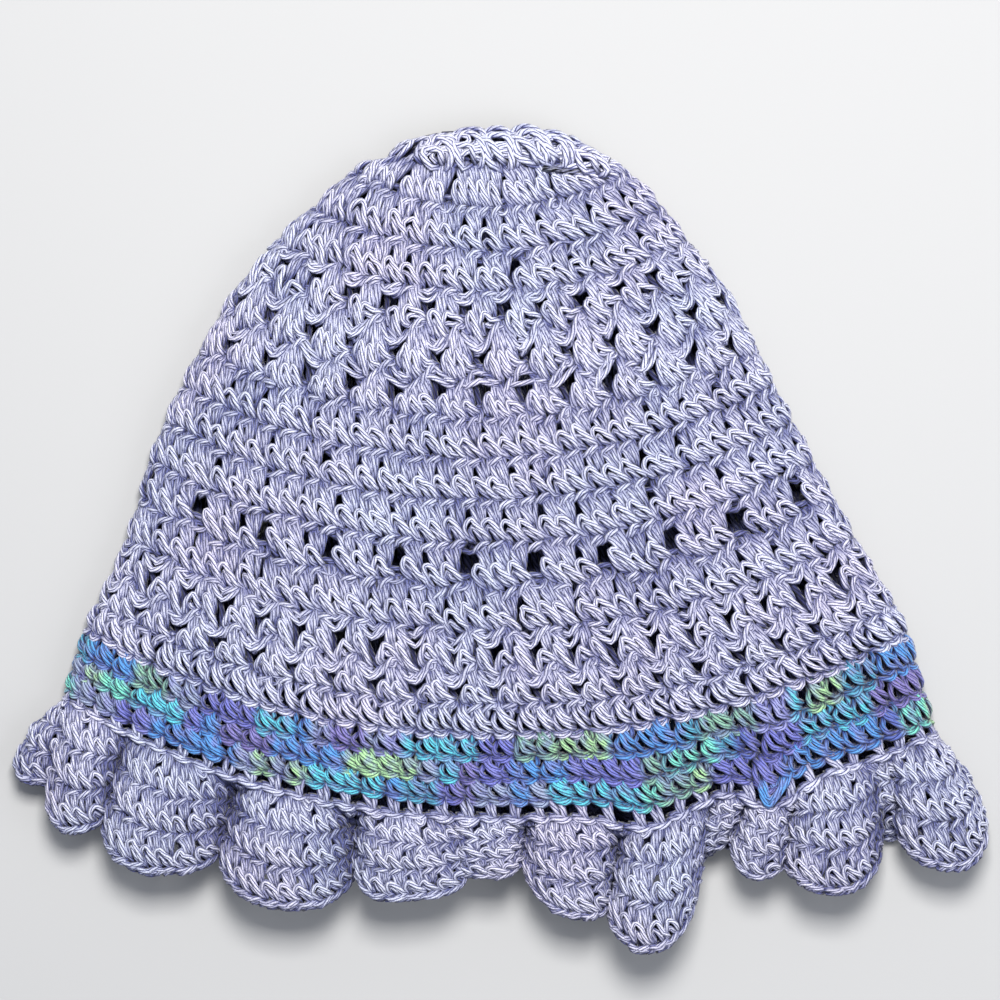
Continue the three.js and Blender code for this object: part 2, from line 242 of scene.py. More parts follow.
def hem_curve(columns):
    """At fractional columns round the brim: the hem's points, how deep the cloth folds in towards the next
    crease there, and the way that the lobe's side bulges over it."""
    points = np.zeros((len(columns), 3))
    folds = np.zeros(len(columns))
    bulges = np.zeros((len(columns), 3))
    lobes = FRONT_LOBES + BACK_LOBES
    _, before, _, crease_before = lobes[-1]
    start = 0
    for tip, after, width, crease_after in lobes:
        share = (columns - start) / (width / 2)
        for inside, notch, turn, crease, power in (
                ((share >= 0) & (share < 1), before, 1 - share, crease_before, LEFT_FOLD_POWER),
                ((share >= 1) & (share < 2), after, share - 1, crease_after, RIGHT_FOLD_POWER)):
            turned = turn[inside]
            angle = turned * math.pi / 2
            sink = (1 - np.cos(angle)) ** CREASE_POWER
            points[inside, 0] = tip[0] + (notch[0] - tip[0]) * np.sin(angle) ** LOBE_SQUARENESS
            points[inside, 1] = tip[1] + (notch[1] - tip[1]) * (1 - np.cos(angle) ** LOBE_SQUARENESS)
            points[inside, 2] = tip[2] + (notch[2] - tip[2]) * sink
            folds[inside] = crease * turned ** power
            way = np.array([notch[0] - tip[0], notch[1] - tip[1], 0])
            bulge = crease * LOBE_BULGE * BULGE_SCALE * turned ** 2 * (1 - turned)
            bulges[inside] = bulge[:, None] * way / np.linalg.norm(way)
        before = after
        crease_before = crease_after
        start += width
    return points, folds, bulges


class Surface:
    """A grid of points, outward directions and depths into a crease, read at any place between them."""

    def __init__(self, first, step, points, normals, sinks):
        self.first = first
        self.step = step
        self.points = points
        self.normals = normals
        self.sinks = sinks

    def read(self, share, down):
        """Points, directions and crease depths at a share of the way round and a distance down in rounds."""
        row = np.clip((down - self.first) / self.step, 0, len(self.points) - ROW_END)
        column = (share % 1) * self.points.shape[1]
        row_low = row.astype(int)
        column_low = column.astype(int) % self.points.shape[1]
        column_high = (column_low + 1) % self.points.shape[1]
        v = (row - row_low)[:, None]
        u = (column - column.astype(int))[:, None]
        results = []
        for grid in (self.points, self.normals, self.sinks):
            low = grid[row_low, column_low] * (1 - u) + grid[row_low, column_high] * u
            high = grid[row_low + 1, column_low] * (1 - u) + grid[row_low + 1, column_high] * u
            results.append(low * (1 - v) + high * v)
        return results[0], unit(results[1]), results[2][:, 0]


def crown_surface():
    rounds = np.arange(0, LAST_ROUND + ROUND_STEP / 2, ROUND_STEP)
    points = np.stack([round_points(at) for at in rounds])
    return Surface(0, ROUND_STEP, points, grid_normals(points), np.zeros((*points.shape[:2], 1)))


def strip_surface():
    """The strip over the crown's top edge, from its upper outline down to the second round."""
    edges = dict(zip(STRIP_COLUMNS, STRIP_ROWS.T))
    downs = STRIP_FIRST + STRIP_STEP * np.arange(STRIP_DOWN)
    places = np.linspace(edges["acrossX"][0], edges["acrossX"][-1], STRIP_ACROSS)
    down, across = np.meshgrid(downs, places, indexing="ij")
    top = np.interp(across, edges["acrossX"], edges["topY"])
    foot = np.interp(across, edges["acrossX"], edges["footY"])
    angle = np.clip(down, 0, 1) * math.pi / 2
    z = STRIP_TOP_Z + (STRIP_FOOT_Z - STRIP_TOP_Z) * np.sin(angle)
    points = np.stack([across, top + (foot - top) * down, z], axis=2)
    normals = unit(np.stack([np.zeros(z.shape), np.cos(angle), STRIP_UPWARD + np.sin(angle)], axis=2))
    return Surface(STRIP_FIRST, STRIP_STEP, points, normals, np.zeros((*z.shape, 1)))


def brim_grid(crown, columns):
    """Rows of points from the mesh down to the hem at fractional columns, how deep the cloth is folded in at
    each of them, and the directions at their tops."""
    hem, folds, bulges = hem_curve(columns)
    share = columns / RUFFLE_COLUMNS
    top, top_normal, _ = crown.read(share, np.full(len(share), float(LAST_ROUND)))
    hem = hem - unit((hem - top) * (1, 1, 0)) * HEM_INSET
    rows = []
    sinks = []
    for down in np.arange(DOWN_STEPS + HEM_STEPS + 1) / DOWN_STEPS:
        middle = top * (1 - down) + hem * down
        middle[:, 2] = top[:, 2] + (hem[:, 2] - top[:, 2]) * down ** HEM_RISE_POWER
        puff = LOBE_PUFF * math.sin(math.pi * down) * (1 - np.maximum(-top_normal[:, 2], 0))
        middle += top_normal * puff[:, None]
        opened = min(down / FOLD_START, 1)
        opened = opened * opened * (3 - 2 * opened)
        fold = folds * opened
        middle[:, 2] += (np.minimum(CREASE_Z, middle[:, 2]) - middle[:, 2]) * fold
        rows.append(middle + bulges * opened)
        sinks.append(fold)
    return np.stack(rows), np.stack(sinks), top_normal


def ruffle_surface(crown):
    """The brim from the mesh down to the hem, how long it is round its lower part, and where on it the right
    fold stands."""
    fine = np.arange(HEM_SAMPLES) / HEM_SAMPLES * RUFFLE_COLUMNS
    ends = np.append(fine, RUFFLE_COLUMNS)
    rows, _, _ = brim_grid(crown, fine)
    low = rows[round(DOWN_STEPS * EVEN_AT)]
    lengths = np.concatenate([[0], np.cumsum(np.linalg.norm(np.roll(low, -1, axis=0) - low, axis=1))])
    spaced = np.interp(np.arange(RUFFLE_SHARES) / RUFFLE_SHARES * lengths[-1], lengths, ends)
    points, sinks, top_normal = brim_grid(crown, spaced)
    normals = unit(grid_normals(points) + TOP_LEAN * top_normal[None, :, :])
    down = np.arange(len(points))[:, None, None] / DOWN_STEPS
    points = points - normals * (1, 1, 0) * SIDE_INSET * np.minimum(down / FOLD_START, 1)
    fold = float(np.interp(RUFFLE_COLUMNS / 2, ends, lengths)) / lengths[-1]
    step = len(RUFFLE_ROWS) / DOWN_STEPS
    return Surface(LAST_ROUND, step, points, normals, sinks[:, :, None]), lengths[-1], fold


# Stitches, each row a point of the yarn: across the stitch, down it, height over the cloth's middle in
# millimetres, and steps to the next point
DOUBLE_STITCH = np.array([
    (0.28, 1.22, 0.7, 2), (0.56, 1.12, 1.7, 2), (0.92, 1.03, 2.0, 2), (1.26, 0.99, 1.1, 1),
    (1.10, 1.03, -0.4, 1),
    (0.62, 1.22, 0.8, 2), (0.94, 1.12, 1.4, 2), (1.22, 1.06, 0.8, 1),
    (1.10, 1.00, -0.3, 1),
    (0.98, 0.97, 0.9, 1), (0.66, 0.80, 1.9, 2), (0.36, 0.64, 1.7, 1),
    (0.26, 0.74, 1.1, 1), (0.40, 0.90, 1.2, 1), (0.62, 1.02, 0.4, 1),
    (0.26, 0.93, 1.3, 2), (0.04, 0.72, 1.9, 2), (0.08, 0.54, 2.1, 2),
    (0.28, 0.46, 2.4, 2), (0.54, 0.56, 2.7, 2), (0.84, 0.71, 2.7, 2), (1.10, 0.86, 2.0, 2),
    (1.24, 0.95, 0.8, 1),
    (1.00, 0.86, -0.4, 1),
    (0.70, 0.62, 0.8, 1), (0.60, 0.50, 1.8, 2), (0.44, 0.30, 2.0, 2), (0.32, 0.12, 0.8, 1),
    (0.44, -0.06, -0.2, 1),
    (0.58, 0.00, 0.9, 1), (0.72, 0.34, 1.5, 2), (0.84, 0.66, 0.9, 1),
    (0.90, 0.50, -0.2, 1),
    (0.92, 0.62, 0.9, 1), (0.90, 0.32, 1.8, 2), (0.86, 0.00, 0.9, 1),
    (1.00, -0.08, -0.2, 1),
    (1.12, 0.00, 0.8, 1), (1.03, 0.34, 1.4, 2), (0.98, 0.66, 0.8, 1),
    (0.70, 0.80, -0.9, 1), (0.30, 1.10, -0.9, 1),
])
SINGLE_STITCH = np.array([
    (-0.12, 1.00, 0.8, 1), (0.14, 1.13, 1.8, 2), (0.46, 1.18, 2.2, 2), (0.84, 1.04, 1.2, 1),
    (0.60, 0.98, -0.6, 1),
    (0.04, 0.90, 0.6, 1), (0.36, 1.02, 1.4, 2), (0.74, 0.94, 1.0, 1),
    (0.66, 0.88, -0.4, 1),
    (0.36, 1.02, 0.7, 1), (0.06, 0.86, 1.6, 2), (-0.08, 0.58, 1.8, 2), (0.08, 0.34, 0.8, 1),
    (0.14, 0.20, -0.4, 1),
    (0.12, 0.04, 0.9, 1), (0.20, 0.34, 2.4, 2), (0.46, 0.66, 2.8, 2), (0.86, 0.92, 1.4, 1),
    (0.86, 0.80, -0.4, 1),
    (1.00, 0.72, 1.0, 1), (0.68, 0.50, 2.3, 2), (0.42, 0.26, 2.3, 2), (0.38, 0.02, 0.8, 1),
    (0.60, -0.06, -0.4, 1),
    (0.74, 0.04, 0.8, 1), (0.80, 0.24, 1.7, 1), (0.72, 0.46, 0.6, 1),
    (0.60, 0.50, -1.0, 1), (0.40, 0.90, -1.1, 1),
])
CHAIN_LINK = np.array([
    (-0.25, 1.04, 0.6, 2), (0.15, 1.16, 1.4, 2), (0.60, 1.18, 1.7, 2), (1.05, 1.02, 1.0, 1),
    (0.98, 0.84, 0.2, 2), (0.50, 0.84, 1.0, 2), (0.00, 0.82, 0.2, 1),
    (-0.05, 0.98, -0.2, 1), (0.50, 1.00, 0.6, 1), (0.95, 1.00, -0.6, 1),
])
MESH_STITCH = np.array([
    (-0.12, 0.86, 1.0, 1), (0.16, 0.88, 1.7, 2), (0.40, 1.10, 2.0, 2), (0.66, 1.10, 1.9, 2),
    (0.94, 0.88, 1.1, 1),
    (0.80, 0.82, -0.4, 1),
    (0.74, 0.94, 1.2, 1), (0.48, 0.92, 1.8, 2), (0.20, 0.76, 1.1, 2), (-0.06, 0.74, 0.8, 1),
    (0.20, 0.80, -0.4, 1),
    (0.44, 0.92, 0.8, 1), (0.42, 0.46, 1.6, 2), (0.36, 0.04, 0.9, 1),
    (0.50, -0.10, -0.4, 1),
    (0.68, 0.02, 0.9, 1), (0.62, 0.46, 1.8, 2), (0.58, 0.92, 0.9, 1),
    (0.80, 0.90, -0.6, 1),
])
# A loop of the gathered middle of the top
TOP_LOOP = np.array([
    (-0.20, 1.00, 0.6, 1), (-0.06, 0.56, 2.0, 2), (0.24, 0.16, 2.9, 2), (0.66, 0.12, 3.0, 2),
    (1.02, 0.46, 2.4, 2),
    (1.20, 0.92, 1.0, 1),
    (1.00, 0.80, -0.2, 1),
    (0.86, 0.96, 1.0, 1), (0.78, 0.60, 2.2, 2), (0.52, 0.38, 3.3, 2), (0.22, 0.48, 2.9, 2),
    (0.04, 0.90, 1.2, 1),
    (0.10, 0.60, -0.2, 1),
    (-0.10, 0.20, 1.0, 1), (0.20, 0.36, 2.0, 2), (0.50, 0.74, 2.2, 2), (0.74, 1.04, 0.9, 1),
    (0.50, 0.70, -0.6, 1),
])
# A raised loop of the top's edge, which crosses the loops beside it
CROSSING_LOOP = np.array([
    (-0.10, 1.04, 0.4, 1), (-0.24, 0.66, 1.6, 2), (-0.06, 0.28, 1.9, 2), (0.34, 0.11, 1.6, 2),
    (0.80, 0.16, 1.9, 2),
    (1.10, 0.42, 2.6, 2), (1.20, 0.84, 1.6, 1), (1.10, 1.04, 0.4, 1),
    (0.80, 0.90, -0.6, 1),
    (0.60, 1.08, 0.6, 1), (0.28, 0.98, 2.2, 2), (0.04, 0.70, 2.6, 2), (0.16, 0.38, 2.6, 2),
    (0.50, 0.26, 2.4, 2),
    (0.84, 0.44, 3.2, 2), (0.98, 0.80, 2.6, 2), (0.80, 1.08, 0.8, 1),
    (0.60, 0.90, -0.6, 1),
    (0.70, 0.96, 0.8, 1), (0.56, 0.66, 3.4, 2), (0.20, 0.52, 3.2, 2), (-0.22, 0.34, 1.4, 1),
    (0.10, 0.50, -0.6, 1),
])
# The yarn's way back under the raised loops
RETURN_RUN = np.array([(0.80, 0.50, -1.6, 1), (0.50, 0.55, -1.6, 1), (0.20, 0.50, -1.6, 1)])
# The pulled stitch at the deepest dip of the band, which points down over the mesh
POINTED_STITCH = np.array([
    (0.00, 0.00, 1.0, 1), (0.14, 0.45, 3.0, 2), (0.40, 0.96, 3.4, 1), (0.50, 1.03, 3.2, 1),
    (0.60, 0.96, 3.4, 2),
    (0.88, 0.45, 3.0, 2), (1.04, 0.00, 0.6, 1), (0.92, 0.10, 0.0, 1),
    (0.84, 0.00, 1.2, 1), (0.70, 0.45, 3.6, 2), (0.50, 0.80, 3.8, 2), (0.30, 0.45, 3.6, 2),
    (0.16, 0.00, 1.2, 1),
    (0.30, 0.10, 0.2, 1),
    (0.36, 0.00, 1.4, 1), (0.44, 0.34, 3.0, 2), (0.62, 0.10, 1.0, 1), (0.70, -0.10, -0.4, 1),
])
# The line above its round, its middle and width as shares of the way round, and the lines of its top and tip
POINTED_LINE = 17
POINTED_AT = 0.396
POINTED_WIDTH = 0.021
POINTED_TOP = 17.7
POINTED_TIP = 18.8
# A link of the chain along the hem
HEM_LINK = np.array([
    (-0.20, 1.02, 0.6, 1), (0.20, 1.07, 1.7, 2), (0.70, 1.08, 1.9, 2), (1.30, 1.04, 0.8, 1),
    (0.90, 1.08, -0.4, 1), (0.30, 1.14, 0.2, 1), (0.60, 1.17, 0.9, 2), (1.10, 1.16, 0.4, 1),
    (0.95, 1.08, -0.5, 1),
])
# The yarn's run behind a stitch of the last round, which closes it
LINING = np.array([
    (0.05, 0.25, -0.9, 1), (0.60, 0.45, -1.1, 1), (0.10, 0.62, -1.1, 1), (0.70, 0.78, -1.1, 1),
    (0.20, 0.92, -0.9, 1), (0.90, 0.98, -0.9, 1),
])
# A chain that hangs between the tops of two groups of stitches
HANGING_LOOP = np.array([
    (-0.10, 0.50, -0.8, 1), (-0.14, 0.06, 0.9, 2), (0.14, 0.20, 2.0, 2), (0.50, 0.29, 2.3, 2),
    (0.88, 0.18, 1.8, 2), (1.14, 0.00, 0.6, 1), (0.90, -0.02, 0.8, 2), (0.52, 0.10, 2.0, 2),
    (0.14, 0.02, 1.2, 1), (0.45, 0.50, -0.9, 1),
])

# The plainer stitch of the hidden back layer
BACK_STITCH = np.array([
    (0.00, 1.04, 0.9, 1), (0.50, 1.12, 1.2, 1), (0.95, 0.95, 0.8, 1),
    (0.30, 0.86, -0.4, 1), (0.14, 0.45, 0.4, 1), (0.22, 0.00, 0.2, 1),
    (0.55, -0.04, -0.4, 1), (0.55, 0.45, 0.3, 1), (0.50, 0.86, -0.5, 1),
    (0.86, 0.80, -0.2, 1), (0.88, 0.20, 0.2, 1), (0.90, 0.60, -0.8, 1),
])
BACK_SCALE = 1.25
# Painted light: how much brighter the hidden back's yarn is drawn, so that the shaded inside shows dim lilac
# instead of black
BACK_PAINTED_LIGHT = 0.5
FOLD_SHARE = 0.03

# Each round of the crown: groups, stitches in a group, the share of the pitch that their tops and feet take,
# the share left open in the middle of the feet, where the first group stands, and how far below the line
# above it the round starts
WORK_COLUMNS = ("round", "groups", "stitches", "tops", "feet", "split", "shift", "drop")
WORK_ROWS = (
    (2, 12, 4, 0.95, 0.80, 0.00, 0.72, 0.07),
    (3, 40, 1, 1.00, 1.00, 0.00, 0.00, 0.00),
    (4, 48, 1, 1.00, 1.00, 0.00, 0.00, 0.00),
    (5, 26, 2, 0.50, 0.84, 0.00, 0.50, 0.00),
    (6, 26, 3, 0.36, 0.86, 0.00, 0.00, 0.00),
    (7, 28, 3, 0.38, 0.90, 0.00, 0.50, 0.00),
    (8, 70, 1, 1.00, 1.00, 0.00, 0.00, 0.00),
    (9, 73, 1, 1.00, 1.00, 0.00, 0.30, 0.00),
    (10, 78, 1, 1.00, 1.00, 0.00, 0.10, 0.00),
    (11, 22, 3, 0.84, 0.76, 0.00, 0.71, 0.00),
    (12, 84, 1, 1.00, 1.00, 0.00, 0.00, 0.00),
    (13, 42, 2, 0.36, 1.00, 0.12, 0.00, 0.00),
    (14, 42, 2, 0.36, 0.88, 0.00, 0.00, 0.00),
)

# The gathered top: loops round it, and the rounds between which they stand
TOP_COLUMNS = ("loops", "start", "end")
TOP_ROWS = (
    (8, 0.02, 0.58),
    (12, 0.30, 1.12),
)

# How the line under a round waves: depth in rounds, waves around, and where a crest hangs lowest
WAVE_COLUMNS = ("round", "depth", "waves", "lowest")
WAVE_ROWS = (
    (1, 0.10, 12, 0.22),
    (4, 0.05, 26, 0.00),
    (5, 0.24, 26, 0.50),
    (6, 0.22, 26, 0.00),
    (7, 0.10, 28, 0.50),
    (11, 0.10, 22, 0.71),
    (12, 0.06, 42, 0.50),
    (13, 0.20, 42, 0.50),
    (14, 0.05, 42, 0.00),
)
# A group whose tops take a smaller share than this has a chain hanging to the next group
HANGING_TOPS = 0.7

# Stitches round the band and the open mesh, and the width of a stitch of the brim and how many make a fan
SINGLE_STITCHES = 92
MESH_STITCHES = 80
RUFFLE_STITCH_WIDTH = 5.1
FAN_STITCHES = 4

# Each round of the brim: the share of the pitch that a fan's tops take, and where the first fan stands
RUFFLE_ROWS = (
    (0.8, 0.0),
    (1.0, 0.1),
    (1.0, 0.2),
)

# The crown's last round, under which the band starts
PLAIN_ROUND = 15

# Seeds of the random draws; a worked or plain round's seed is its own number
TOP_SEED = 1
BAND_SEED = 20
MESH_SEED = 30
RUFFLE_SEED = 50
RAISED_SEED = 60

# The share of the way round at which the hidden back starts; the raised loops have none
BACK_START = 0.5
NO_BACK = 1.0

# How far whole stitches stray from their table, by four draws each: along the round, leaning, down, off the
# cloth and in thickness
LOOSE_DRAWS = 4
STRAY_ACROSS = 0.09
STRAY_LEAN = 0.14
STRAY_DOWN = 0.035
STRAY_LIFT = 0.15
STRAY_THICK = 0.05

# How far each point of the yarn strays by itself
POINT_ACROSS = 0.045
POINT_DOWN = 0.016
POINT_LIFT = 0.08

# Yarns' radii in millimetres, and the painted shade of their material: darker the lower the yarn lies in the
# cloth and towards the sides of each strand that face away from the cloth's outside
YARN_RADIUS = 1.02
RUFFLE_RADIUS = 0.92
MESH_RADIUS = 1.14
LOOP_RADIUS = 1.28
HEIGHT_SHADE = 0.6
LIFT_SHADE = 1.9
LIFT_SPREAD = 1.25

# The sides of a yarn's section, the corners of a face, the least gap to the floor, and the margin beside each
# strip of the layout for baking
SIDES = 6
FACE_CORNERS = 4
FLOOR_GAP = 0.02
ATLAS_MARGIN = 0.05
ATLAS_FILL = 1 - 2 * ATLAS_MARGIN

# A direction that no yarn starts along
START_ACROSS = (0.3, 0.2, 0.9)

# How far each round of the band is shifted in stitches, where the runs start again on its back, and the part
# of a stitch in which one shade turns to the next
BAND_SHIFT = 0.3
BACK_RUNS_START = 7
BACK_RUNS_STEP = 9
EASE_START = 0.3
EASE_WIDTH = 0.4

# Shades of the band's yarn, and the run of stitches that each one lasts in the three rounds
SHADES = {
    "turquoise": (0.26, 0.88, 0.92), "azure": (0.16, 0.60, 0.90), "violet": (0.42, 0.42, 0.82),
    "purple": (0.50, 0.42, 0.74), "mint": (0.46, 0.96, 0.80), "lime": (0.72, 0.94, 0.60),
    "sage": (0.54, 0.78, 0.62), "grey": (0.64, 0.69, 0.80), "teal": (0.14, 0.68, 0.78),
    "indigo": (0.16, 0.28, 0.70), "lilac": (0.66, 0.66, 0.88),
}
BAND_RUNS = (
    (("teal", 2), ("azure", 3), ("sage", 2), ("grey", 2), ("violet", 3), ("turquoise", 2), ("azure", 1),
     ("grey", 1), ("purple", 2), ("grey", 1), ("lilac", 1), ("turquoise", 4), ("violet", 2), ("sage", 2),
     ("lime", 3), ("azure", 4), ("teal", 1), ("sage", 3), ("lilac", 2), ("turquoise", 1), ("lime", 2),
     ("teal", 2), ("azure", 3)),
    (("grey", 2), ("lime", 1), ("mint", 2), ("turquoise", 3), ("violet", 1), ("azure", 1), ("purple", 3),
     ("azure", 4), ("lime", 4), ("grey", 1), ("turquoise", 1), ("purple", 1), ("violet", 2), ("azure", 3),
     ("violet", 4), ("sage", 1), ("mint", 3), ("teal", 1), ("indigo", 1), ("violet", 3), ("turquoise", 4),
     ("purple", 4)),
    (("mint", 1), ("grey", 3), ("violet", 2), ("azure", 5), ("grey", 1), ("lime", 1), ("grey", 1),
     ("lime", 1), ("turquoise", 4), ("azure", 1), ("teal", 2), ("violet", 1), ("purple", 1), ("grey", 2),
     ("azure", 1), ("grey", 1), ("turquoise", 5), ("mint", 1), ("sage", 2), ("lime", 1), ("violet", 4),
     ("azure", 6), ("indigo", 1), ("mint", 2), ("lime", 1)),
)


def row_wave(line, share):
    """How far the line under a round hangs below its true place, in rounds."""
    for values in WAVE_ROWS:
        row = dict(zip(WAVE_COLUMNS, values))
        if row["round"] == line:
            return row["depth"] * np.cos(2 * math.pi * (share * row["waves"] - row["lowest"]))
    return np.zeros(len(share))


class Yarn:
    """Collects the points of one round's yarn, stitch after stitch."""

    def __init__(self, surface, seed, radius, back_start=BACK_START):
        self.surface = surface
        self.radius = radius
        self.back_start = back_start
        self.random = np.random.default_rng(SEED + seed)
        self.shares = []
        self.downs = []
        self.heights = []
        self.steps = []
        self.radii = []
        self.marks = []
        self.painted_shading = []
        self.count = 0

    def stitch(self, shape, tops, feet, rows):
        """One stitch between the shares of its top and feet, from one row's line down to the next."""
        hidden = self.back_start + FOLD_SHARE < (tops[0] % 1) < 1 - FOLD_SHARE
        across, down, height, steps = (BACK_STITCH if hidden else shape).T
        shifted, lowered, loose, thick = self.random.normal(0, 1, LOOSE_DRAWS)
        across = (across + STRAY_ACROSS * shifted + STRAY_LEAN * loose * (down - 0.5)
                  + self.random.normal(0, POINT_ACROSS, len(across)))
        down_by = np.clip(down, 0, 1)
        left = tops[0] + (feet[0] - tops[0]) * down_by
        right = tops[1] + (feet[1] - tops[1]) * down_by
        share = left + (right - left) * across
        top = rows[0] + row_wave(rows[0], share)
        foot = rows[1] + row_wave(rows[1], share)
        down = down + STRAY_DOWN * lowered + self.random.normal(0, POINT_DOWN, len(across))
        height = height + STRAY_LIFT * loose + self.random.normal(0, POINT_LIFT, len(across))
        scale = BACK_SCALE if hidden else 1 + STRAY_THICK * thick
        self.shares.append(share)
        self.downs.append(top + (foot - top) * down)
        self.heights.append(height)
        self.steps.append(steps)
        self.radii.append(np.full(len(steps), self.radius * scale))
        self.painted_shading.append(np.full(len(steps), BACK_PAINTED_LIGHT if hidden else 0.0))
        self.marks.append(self.count + across)
        self.count += 1

    def controls(self):
        """The yarn's points, the values that go with them and the steps to the next point. The values are
        painted brightness (painted shade deep in creases, painted light on the hidden back), place in
        stitches, radius and the way that the cloth faces."""
        share = np.concatenate(self.shares)
        down = np.concatenate(self.downs)
        height = np.concatenate(self.heights)
        points, normals, sinks = self.surface.read(share, down)
        back = np.concatenate(self.painted_shading)
        # Painted shade deep in the creases, and painted light on the hidden back's yarn
        painted_brightness = height - CREASE_SHADE * sinks + back
        # Painted light: the hidden back counts as facing inwards, so that its inner side is drawn lit
        facing = np.where(back > 0, -1.0, 1.0)[:, None]
        values = np.column_stack([painted_brightness, np.concatenate(self.marks),
                                  np.concatenate(self.radii), normals * facing])
        return points + normals * height[:, None], values, np.concatenate(self.steps).astype(int)


def smooth_path(controls, values, steps):
    """Samples a closed smooth curve through the controls, and the values that go with them."""
    count = len(controls)
    index = np.repeat(np.arange(count), steps)
    first = np.repeat(np.cumsum(steps) - steps, steps)
    t = ((np.arange(len(index)) - first) / np.repeat(steps, steps))[:, None]
    p0 = controls[(index - 1) % count]
    p1 = controls[index]
    p2 = controls[(index + 1) % count]
    p3 = controls[(index + 2) % count]
    points = 0.5 * (2 * p1 + (p2 - p0) * t + (2 * p0 - 5 * p1 + 4 * p2 - p3) * t ** 2
                    + (3 * p1 - p0 - 3 * p2 + p3) * t ** 3)
    following = values[(index + 1) % count]
    return points, values[index] * (1 - t) + following * t


def carried_frames(tangents):
    """Side directions carried along the yarn without twist, closed at its end."""
    count = len(tangents)
    rows = tangents.tolist()
    start = np.cross(tangents[0], START_ACROSS)
    ux, uy, uz = (start / np.linalg.norm(start)).tolist()
    sides = []
    for tx, ty, tz in rows + rows[:1]:
        lean = ux * tx + uy * ty + uz * tz
        ux -= lean * tx
        uy -= lean * ty
        uz -= lean * tz
        scale = 1 / math.sqrt(ux * ux + uy * uy + uz * uz + TINY_SQUARE)
        ux *= scale
        uy *= scale
        uz *= scale
        sides.append((ux, uy, uz))
    sides = np.array(sides)
    last = sides[-1]
    sides = sides[:-1]
    other = np.cross(tangents[0], sides[0])
    miss = math.atan2(float(last @ other), float(last @ sides[0]))
    turn = -miss * np.arange(count) / count
    ups = np.cross(tangents, sides)
    return (sides * np.cos(turn)[:, None] + ups * np.sin(turn)[:, None],
            ups * np.cos(turn)[:, None] - sides * np.sin(turn)[:, None])


def ring_corners(count):
    """The corners of the faces between each ring of points and the next, all along a closed path."""
    near = np.arange(count)[:, None] * SIDES
    far = ((np.arange(count) + 1) % count)[:, None] * SIDES
    here = np.arange(SIDES)[None, :]
    there = (here + 1) % SIDES
    return np.stack([near + here, near + there, far + there, far + here], axis=2).reshape(-1)


def smooth_mesh(name, vertices, corners):
    """A smooth mesh of four-sided faces."""
    face_count = len(corners) // FACE_CORNERS
    mesh = bpy.data.meshes.new(name)
    mesh.vertices.add(len(vertices))
    mesh.vertices.foreach_set("co", vertices.astype(np.float32).ravel())
    mesh.loops.add(len(corners))
    mesh.loops.foreach_set("vertex_index", corners.astype(np.int32))
    mesh.polygons.add(face_count)
    mesh.polygons.foreach_set("loop_start", np.arange(face_count, dtype=np.int32) * FACE_CORNERS)
    mesh.polygons.foreach_set("use_smooth", np.ones(face_count, dtype=bool))
    mesh.update()
    return mesh


def keep_values(mesh, name, kind, field, values):
    """Keeps a value at each point of the mesh for its material to read."""
    layer = mesh.attributes.new(name, kind, "POINT")
    layer.data.foreach_set(field, values.astype(np.float32).ravel())


def yarn_mesh(name, points, painted_shading, radii, normals, shades):
    """Sweeps a round section along a closed path, and keeps at each point its place on the yarn, its
    painted brightness (painted shade and painted light) and its shade of colour."""
    count = len(points)
    tangents = unit(np.roll(points, -1, axis=0) - np.roll(points, 1, axis=0))
    side, up = carried_frames(tangents)
    angles = np.arange(SIDES) / SIDES * 2 * math.pi
    cosines = np.broadcast_to(np.cos(angles), (count, SIDES))
    sines = np.broadcast_to(np.sin(angles), (count, SIDES))
    ring = side[:, None, :] * cosines[:, :, None] + up[:, None, :] * sines[:, :, None]
    centres = points.copy()
    centres[:, 2] = np.maximum(centres[:, 2], radii + FLOOR_GAP)
    vertices = centres[:, None, :] + ring * radii[:, None, None]
    vertices[:, :, 2] = np.maximum(vertices[:, :, 2], FLOOR_GAP)
    vertices = (vertices - CENTRE) * MM
    mesh = smooth_mesh(name, vertices.reshape(-1, 3), ring_corners(count))

    step = np.linalg.norm(np.roll(points, -1, axis=0) - points, axis=1)
    length = np.cumsum(step) - step
    place = np.stack([cosines, sines, np.broadcast_to(length[:, None], (count, SIDES))], axis=2)
    keep_values(mesh, "yarn", "FLOAT_VECTOR", "vector", place)
    # Painted shade: darker the lower the yarn lies in the cloth and on the sides of each strand
    lift = np.sum(ring * unit(normals)[:, None, :], axis=2)
    painted_shade = painted_shading[:, None] * HEIGHT_SHADE + (1 - (1 - lift) ** 2 / LIFT_SPREAD) * LIFT_SHADE
    keep_values(mesh, "height", "FLOAT", "value", painted_shade)
    if shades is not None:
        full = np.concatenate([shades, np.ones((count, 1))], axis=1)
        keep_values(mesh, "shade", "FLOAT_COLOR", "color", np.repeat(full, SIDES, axis=0))
    atlas(mesh, count)
    return mesh


def atlas(mesh, count):
    """Lays the yarn's surface out in strips, side by side with no overlap."""
    strips = max(1, round(math.sqrt(count / SIDES)))
    per_strip = math.ceil(count / strips)
    step = np.arange(count)
    strip = step // per_strip
    along = step % per_strip
    sides = np.arange(SIDES)
    left = (strip[:, None] + ATLAS_MARGIN + ATLAS_FILL * sides[None, :] / SIDES) / strips
    right = (strip[:, None] + ATLAS_MARGIN + ATLAS_FILL * (sides[None, :] + 1) / SIDES) / strips
    low = np.broadcast_to(along[:, None] / per_strip, left.shape)
    high = np.broadcast_to((along[:, None] + 1) / per_strip, left.shape)
    corners = np.stack([left, low, right, low, right, high, left, high], axis=2)
    layer = mesh.uv_layers.new(name="OFBake")
    layer.data.foreach_set("uv", corners.astype(np.float32).ravel())


